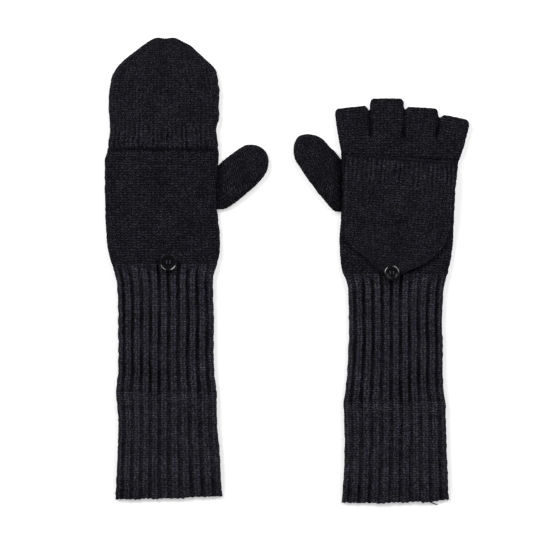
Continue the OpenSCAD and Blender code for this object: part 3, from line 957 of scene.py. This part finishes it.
def tube_creases(mitten, local):
    """How far each point lies from the nearest crease between two tubes, across the hand."""
    gap = np.full(len(local), 9.0)
    for i in range(3):
        low = np.array(KNUCKLES[mitten.side][i + 1], float)
        ends = []
        for k, way in ((i, -1), (i + 1, 1)):
            base, along, across, _, tip = tube_frame(mitten, k)
            ends.append(base + along * TUBE_LENGTH[k] + way * across * tip / 2)
        high = (ends[0] + ends[1]) / 2
        line = low[0] + (high[0] - low[0]) * (local[:, 1] - low[1]) / (high[1] - low[1])
        gap = np.minimum(gap, np.abs(local[:, 0] - line))
    return gap


def read_vectors(vertices, what):
    """One vector of each vertex, as an array."""
    values = np.empty(len(vertices) * 3)
    vertices.foreach_get(what, values)
    return values.reshape(-1, 3)


def make_fingers(mitten):
    """The four open finger tubes and the knuckles that they grow from, as one knit piece."""
    side = mitten.side
    mesh = united(finger_forms(mitten), 0.95)
    open_tubes(mitten, mesh)
    obj = linked("fingers_outer", mesh)
    wall = obj.modifiers.new("wall", "SOLIDIFY")
    wall.thickness, wall.offset = 1.15 * MM, -1
    solid = applied(obj)
    points = read_vectors(solid.vertices, "co") / MM
    outward = read_vectors(solid.vertices, "normal")
    local = points - [mitten.wrist[0], mitten.wrist[1], 0]
    local[:, 0] *= mitten.sign
    outward[:, 0] *= mitten.sign
    local += outward * (0.13 * waver(local[:, 0], local[:, 1], 3.1, 91))[:, None]
    # Each stitch follows its own finger above the knuckles.
    bases = np.array([tube_frame(mitten, i)[0] for i in range(4)])
    nearest = np.argmin(np.abs(local[:, :1] - bases[None, :, 0]), axis=1)
    lean = np.radians(np.array(LEAN[side]))[nearest]
    above = ease(local[:, 1], 104, 118)
    u = local[:, 0] - above * np.sin(lean) * (local[:, 1] - 112)
    v = local[:, 1] + above * (local[:, 0] - bases[nearest, 0]) * np.sin(lean)
    # The creases where two tubes meet are sunk, and painted shade darkens them.
    creased = (1 - ease(tube_creases(mitten, local), 0.3, 2.0)) * ease(local[:, 1], 107, 114)
    local[:, 2] -= 0.9 * creased * (1 - ease(local[:, 1], 117, 124)) * (outward[:, 2] > 0.3)
    shade = 1 - 0.75 * creased
    # The knuckles dip to the hood's seam, more so on the little finger's side, and painted shade darkens the
    # dip.
    from_seam = local[:, 1] - mitten.seam[1] - (local[:, 0] - mitten.seam[0]) * math.tan(mitten.lean)
    dip = 1 - ease(from_seam, 1.0, 3.6 - 0.03 * local[:, 0])
    local[:, 2] -= 1.2 * dip * (outward[:, 2] > 0.3)
    shade *= 1 - 0.6 * dip
    cloth = Cloth()
    cloth.add_points(local, shade)
    by_size = {3: [], 4: []}
    for face in solid.polygons:
        corners = list(face.vertices)
        if len(corners) > 4:
            by_size[3] += [(corners[0], corners[k], corners[k + 1]) for k in range(1, len(corners) - 1)]
        else:
            by_size[len(corners)].append(corners)
    for size in (4, 3):
        if by_size[size]:
            faces = np.array(by_size[size])
            cloth.add_faces(faces, np.stack([u[faces], v[faces]], axis=-1))
    # Hairs grow from random points that face up or down.
    facing = np.nonzero(np.abs(outward[:, 2]) > 0.2)[0]
    chosen = rng.choice(facing, HAIRS_ON["fingers"])
    cloth.grow_hairs(local[chosen], outward[chosen], shortest=0.4, scale=0.5, thickest=0.06)
    obj = cloth.build(f"{side}_finger_tubes", mitten, [HAND_KNIT, HAIRS])
    names = ("index", "middle", "ring", "little")
    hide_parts(*(f"{side}_{name}_tube" for name in names))
    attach(obj, f"{side}_hand_body")
    if side == "right":
        mitten.metres(mitten.seam[0], mitten.seam[1] + 10, 5)
        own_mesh(obj)
    return obj


# ---------------------------------------------------------------- the hood


def make_hood(mitten):
    """A knit pocket with a short ribbed band at its mouth, a blunt tip and a buttonhole through both layers."""
    side, is_open = mitten.side, mitten.side == "right"
    edge = 1.9 if is_open else 6.0
    ring = Ring(248, 44, edge, 1.8 if is_open else 5.0)
    end = HOOD_OUTLINE[side][-1][0]
    last_rows = end - np.array([2.2, 1.3, 0.6, 0.2, 0])
    rows = np.concatenate([[0.9, 1.5, 2.2, 3.0], np.arange(4.0, end - 3, ROW), last_rows])
    thumb, outer = smooth(HOOD_OUTLINE[side], rows).T
    thumb = thumb + 0.25 * waver(rows, 0 * rows, 9, 40 + mitten.sign)
    outer = outer + 0.25 * waver(rows, 0 * rows, 9, 44 + mitten.sign)
    thumb[-3:] -= [0.2, 0.9, 1.8]
    outer[-3:] -= [0.2, 0.9, 1.8]
    tip = ease(rows, end - 6.5, end)
    if is_open:
        low, high = 8.9 + 0.2 * tip, 12.3 - 0.7 * tip
        high = high + 0.25 * hump(rows, 1.8, 1.6)
        level = np.full_like(rows, 10.7)
    else:
        sink = ease(rows, 62, end)
        low, high = 1.6 * sink, 9.95 - 3.3 * sink - 0.3 * hump(rows, 0.9, 1.6)
        level = 4.4 + 0.2 * sink
    rounded = np.minimum(edge, np.minimum(thumb, outer))
    grid = tube_grid(ring, rows, thumb, outer, low, level, high, rounded, crown=0.15 if is_open else 0.25)
    # The last rings close to a soft fold.
    shut = np.ones_like(rows)
    shut[-4:] = [0.85, 0.6, 0.35, 0.12]
    grid[..., 2] = level[:, None] + (grid[..., 2] - level[:, None]) * shut[:, None]
    out = normals_of(grid)
    arc = ring.arc[None, :-1]
    band = 1 - ease(rows[:, None] + 2.5 * waver(arc, 0 * rows[:, None], 14, 53), 15, 23)
    turn = arc / ring.length * HOOD_RIBS + 0.12 * waver(rows[:, None], arc, 12, 57)
    off = np.abs(turn - np.round(turn)) * 2
    groove = (1 - ease(off, 0.05, 0.7)) * np.clip(0.85 + 0.4 * waver(arc, rows[:, None], 13, 51), 0, 1.2)
    sunk = band * groove
    grid = grid - out * (1.0 * sunk)[..., None]
    line = hump(rows, 21.5, 1.6)[:, None] * 0.25
    puff = waver(arc, rows[:, None], 21, 61 + mitten.sign) * (0.18 if is_open else 0.22)
    calm = (1 - np.abs(ring.across) ** 4)[None, :] * (1 - tip)[:, None]
    grid[..., 2] += (puff - line) * calm * np.where(ring.on_top, 1, 0)[None, :]
    grid = grid + out * (0.13 * waver(arc, rows[:, None], 3.1, 65) * (1 - tip)[:, None])[..., None]
    # A slight dip in the middle of the blunt tip.
    middle = (HOOD_OUTLINE[side][-1][1] - HOOD_OUTLINE[side][-1][2]) / 2
    grid[..., 1] -= 0.8 * (hump(grid[..., 0], middle, 4.0) * ease(rows, end - 4.5, end)[:, None])
    if not is_open:
        grid[..., 2] = np.maximum(grid[..., 2], LOWEST)
    # The buttonhole: the two columns in the middle of each layer stand apart.
    slit_from, slit_to = (87.0, 95.0) if is_open else (82.5, 90.0)
    first, last = (int(np.searchsorted(rows, at)) for at in (slit_from, slit_to))
    upper = ring.across[: ring.n // 2]
    column = int(np.argmin(np.abs(upper * np.where(upper > 0, thumb[first], outer[first]))))
    share = np.sin(np.linspace(0, math.pi, last - first + 1)) ** 0.4
    for a in (column, ring.n - 1 - column):
        middle = grid[first : last + 1, a : a + 2, 0].mean(axis=1)
        for b in (a, a + 1):
            way = np.sign(grid[first : last + 1, b, 0] - middle)
            wanted = middle + way * (1.4 if is_open else 0.04)
            grid[first : last + 1, b, 0] += share * (wanted - grid[first : last + 1, b, 0])
    # The band's own tone is paler, and painted shade darkens its rib grooves.
    shade = 1 + 0.5 * band - 1.05 * np.clip(sunk, 0, 1)
    if is_open:
        # A soft dent across the middle, darkened with painted shade.
        x, u = grid[..., 0], rows[:, None]
        dent = hump(u, 53.5 + 0.1 * x, 2.4) * hump(x, 4, 17) * ring.on_top[None, :]
        under_button = hump(np.hypot(x, u - HOOD_TO_SHANK), 0, 8) * ring.on_top[None, :]
        grid[..., 2] -= 0.7 * dent + 0.9 * under_button
        shade = shade * (1 - 0.28 * dent)
    placed = mitten.open_hood(grid) if is_open else mitten.closed_hood(grid)
    # A painted highlight just inside the hood's outline, and painted shade on its side walls.
    rim = np.abs(ring.across)[None, :] * np.ones_like(rows)[:, None]
    shade = shade * (1 + 0.25 * hump(rim, 0.965, 0.02) - 0.6 * ease(rim, 0.982, 0.998))
    cloth = Cloth()
    wall = 1.0 if is_open else 1.2
    cloth.shell(placed, ring, rows, wall, closed_tip=True, slit=(first, last, column), shade=shade)
    cloth.fuzz(placed, HAIRS_ON["hood"])
    obj = cloth.build(f"{side}_hood_knit", mitten, [HOOD_KNIT, HAIRS])
    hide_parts(f"{side}_hood_back", f"{side}_hood_palm")
    x, y = mitten.seam[0], mitten.seam[1]
    back_z, palm_z = (10.0, 11.4) if is_open else (8.9, 1.7)
    mitten.metres(x, y, back_z)
    mitten.metres(x, y, palm_z)
    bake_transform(obj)
    return obj


def make_seam(mitten):
    """The linking stitches: a yarn that winds along the hinge line."""
    half, radius, pitch = 43.4, 0.62, 2.45
    turns = int(2 * half / pitch)
    t = np.linspace(0, 1, turns * 10)
    angle = t * turns * 2 * math.pi
    x = half - 2 * half * t + 0.35 * np.sin(angle * 0.5)
    y, z = radius * np.cos(angle), AXIS_Z - 0.5 + radius * np.sin(angle)
    c, s = math.cos(mitten.lean), math.sin(mitten.lean)
    line = np.stack([mitten.seam[0] + x * c - y * s, mitten.seam[1] + x * s + y * c, z], 1)
    cloth = Cloth()
    cloth.strand(line, 0.42, sides=6)
    obj = cloth.build(f"{mitten.side}_linking_stitches", mitten, [YARN])
    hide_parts(f"{mitten.side}_hood_seam")
    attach(obj, f"{mitten.side}_hand_body")
    return obj


# ---------------------------------------------------------------- buttons


def tilted(points, pivot, about_x, about_y):
    """Points turned about a pivot, in degrees."""
    a, b = math.radians(about_x), math.radians(about_y)
    rx = np.array([[1, 0, 0], [0, math.cos(a), -math.sin(a)], [0, math.sin(a), math.cos(a)]])
    ry = np.array([[math.cos(b), 0, math.sin(b)], [0, 1, 0], [-math.sin(b), 0, math.cos(b)]])
    return (np.asarray(points) - pivot) @ (ry @ rx).T + pivot


TILT = {"left": (4.0, 0.0), "right": (-3.0, 0.0)}
BUTTON_Z = 13.05
HOLE_R, HOLE_AT = 0.75, 1.35
FLOOR_AT = {"left": 1.45, "right": 1.6}  # the middle of a button's face, above its underside
# Each button's upper side from its edge to its middle: one is a shallow dish, the other has a raised ring.
FACE = {
    "left": [
        (6.5, 0.6), (6.75, 1.0), (6.8, 1.9), (6.74, 2.2), (6.6, 2.26), (6.35, 2.16), (6.1, 2.06), (5.6, 1.93),
        (5.0, 1.79), (4.0, 1.6), (3.0, 1.5),
    ],
    "right": [
        (6.1, 0.4), (6.35, 0.8), (6.35, 1.5), (6.28, 1.85), (6.1, 2.08), (5.7, 2.26), (5.3, 2.36), (4.9, 2.38),
        (4.75, 2.33), (4.5, 2.12), (4.2, 1.86), (4.0, 1.69), (3.85, 1.64), (3.0, 1.62),
    ],
}


def make_button(mitten):
    """A turned button with a raised rim and four holes."""
    drawn, floor = FACE[mitten.side], FLOOR_AT[mitten.side]
    numbered = [(k, *v) for k, v in enumerate(drawn)]
    face = [tuple(v) for v in smooth(numbered, np.linspace(0, len(drawn) - 1, 40))]
    profile = [(0.0, 0.0), (2.5, 0.0), (4.8, 0.1)] + face + [(2.0, floor), (0.0, floor)]
    sides = 96
    turn = np.arange(sides) * 2 * math.pi / sides
    mesh = bmesh.new()
    rings = []
    for radius, z in profile:
        if radius == 0:
            rings.append([mesh.verts.new((0, 0, z))] * sides)
        else:
            rings.append([mesh.verts.new((radius * math.cos(a), radius * math.sin(a), z)) for a in turn])
    for low, high in zip(rings, rings[1:], strict=False):
        for k in range(sides):
            corners = [low[k], low[(k + 1) % sides], high[(k + 1) % sides], high[k]]
            mesh.faces.new(without_repeats(corners))
    bmesh.ops.recalc_face_normals(mesh, faces=mesh.faces)
    obj = linked("turned", mesh_from("turned", mesh))
    drills = bmesh.new()
    for x in (-HOLE_AT, HOLE_AT):
        for y in (-HOLE_AT, HOLE_AT):
            made = bmesh.ops.create_cone(
                drills, cap_ends=True, segments=24, radius1=HOLE_R, radius2=HOLE_R, depth=8
            )
            bmesh.ops.translate(drills, verts=made["verts"], vec=(x, y, 0))
    drill = linked("drills", mesh_from("drills", drills))
    cut = obj.modifiers.new("holes", "BOOLEAN")
    cut.object, cut.operation, cut.solver = drill, "DIFFERENCE", "EXACT"
    done = applied(obj)
    bpy.data.objects.remove(drill)
    points = np.array([v.co for v in done.vertices]) + [mitten.button[0], mitten.button[1], BUTTON_Z]
    pivot = np.array([mitten.button[0], mitten.button[1], AXIS_Z])
    points = mitten.place(tilted(points, pivot, *TILT[mitten.side]))
    done.vertices.foreach_set("co", (points * MM).ravel())
    if mitten.sign < 0:
        done.flip_normals()
    done.name = f"{mitten.side}_button"
    done.materials.clear()
    done.materials.append(GLOSS)
    done.polygons.foreach_set("use_smooth", np.ones(len(done.polygons), bool))
    done.polygons.foreach_set("material_index", np.zeros(len(done.polygons), int))
    done.set_sharp_from_angle(angle=math.radians(38))
    button = linked(f"{mitten.side}_dished_button", done)
    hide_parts(f"{mitten.side}_button")
    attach(button, f"{mitten.side}_button_body")
    return button


def make_thread(mitten):
    """Sewing thread: a wound shank under the button and two double bars through its holes."""
    cloth = Cloth()
    x0, y0 = mitten.button
    t = np.linspace(0, 1, 90)
    angle = t * 7 * 2 * math.pi
    wind = np.stack([0.62 * np.cos(angle), 0.62 * np.sin(angle), 8.95 + (BUTTON_Z - 9.0) * t], 1)
    lines = [(wind, 0.3)]
    core = np.stack([0 * t, 0 * t, 8.9 + (BUTTON_Z + 0.3 - 8.9) * t], 1)
    lines.append((core, 0.55))
    floor = BUTTON_Z + FLOOR_AT[mitten.side]
    for x in (-HOLE_AT, HOLE_AT):
        for shift in (-0.24, 0.24):
            s = np.linspace(-1, 1, 16)
            drop = np.where(np.abs(s) > 0.8, (np.abs(s) - 0.8) / 0.2 * 1.3, 0)
            y = HOLE_AT * np.clip(s / 0.8, -1, 1)
            z = floor + 0.32 + 0.12 * (1 - s**2) - drop
            lines.append((np.stack([x + shift + 0 * s, y, z], 1), 0.24))
    pivot = np.array([0, 0, AXIS_Z])
    for line, radius in lines:
        placed = tilted(line, pivot, *TILT[mitten.side]) + [x0, y0, 0]
        cloth.strand(placed, radius, sides=8)
    obj = cloth.build(f"{mitten.side}_sewing_thread", mitten, [THREAD])
    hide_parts(f"{mitten.side}_button_thread")
    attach(obj, f"{mitten.side}_button_body")
    return obj


# ---------------------------------------------------------------- the pair

for name in ("left", "right"):
    one = Mitten(name)
    make_cuff(one)
    make_hand(one)
    make_thumb(one)
    make_fingers(one)
    make_hood(one)
    make_seam(one)
    make_button(one)
    make_thread(one)


# ---------------------------------------------------------------- table, light and camera


def make_table():
    """A white light table, which glows faintly."""
    mesh = bmesh.new()
    bmesh.ops.create_grid(mesh, x_segments=1, y_segments=1, size=3.0)
    table = linked("table", mesh_from("table", mesh))
    table.location.z = -0.0003
    s = Shader("table_white")
    s.settings({
        "Base Color": (0.93, 0.93, 0.93, 1), "Roughness": 0.9, "Specular IOR Level": 0.0,
        "Emission Color": (1, 1, 1, 1), "Emission Strength": 0.5,
    })
    table.data.materials.append(s.material)


def softbox(name, place, width, height, power):
    """An area light aimed at the middle of the pair. Its size is in metres and its power in watts."""
    light = bpy.data.lights.new(name, "AREA")
    light.shape, light.size, light.size_y, light.energy = "RECTANGLE", width, height, power
    obj = linked(name, light)
    obj.location = place
    way = -np.array(place, float)
    flat = math.hypot(way[0], way[1])
    obj.rotation_euler = (math.atan2(flat, -way[2]), 0, math.atan2(-way[0], way[1]))


def studio_world():
    """White walls all round, dark straight above where the camera hangs."""
    world = bpy.data.worlds.new("studio")
    world.use_nodes = True
    nodes, links = world.node_tree.nodes, world.node_tree.links
    where = nodes.new("ShaderNodeTexCoord")
    split = nodes.new("ShaderNodeSeparateXYZ")
    links.new(where.outputs["Generated"], split.inputs[0])
    fade = nodes.new("ShaderNodeMapRange")
    for socket, value in zip(fade.inputs[1:5], (0.72, 0.95, 1.0, 0.1), strict=True):
        socket.default_value = value
    fade.interpolation_type = "SMOOTHSTEP"
    links.new(split.outputs[2], fade.inputs[0])
    strength = nodes.new("ShaderNodeMath")
    strength.operation = "MULTIPLY"
    strength.inputs[1].default_value = 1.55
    links.new(fade.outputs[0], strength.inputs[0])
    links.new(strength.outputs[0], nodes["Background"].inputs["Strength"])
    bpy.context.scene.world = world


make_table()
softbox("left_softbox", (-1.12, 0.87, 1.6), 1.1, 0.8, 26)
softbox("right_softbox", (1.04, 0.96, 1.6), 1.5, 0.8, 21)
studio_world()

VIEW_WIDTH, CAMERA_HEIGHT = 0.4424, 2.2  # metres
SENSOR = 36.0  # millimetres
camera_data = bpy.data.cameras.new("camera")
camera_data.sensor_width = SENSOR
camera_data.lens = SENSOR * CAMERA_HEIGHT / VIEW_WIDTH
camera_data.clip_end = 20
camera = linked("camera", camera_data)
camera.location = (-0.0164, 0.0032, CAMERA_HEIGHT)
bpy.context.scene.camera = camera
bpy.context.scene.view_settings.view_transform = "Standard"
bpy.context.scene.view_settings.look = "None"
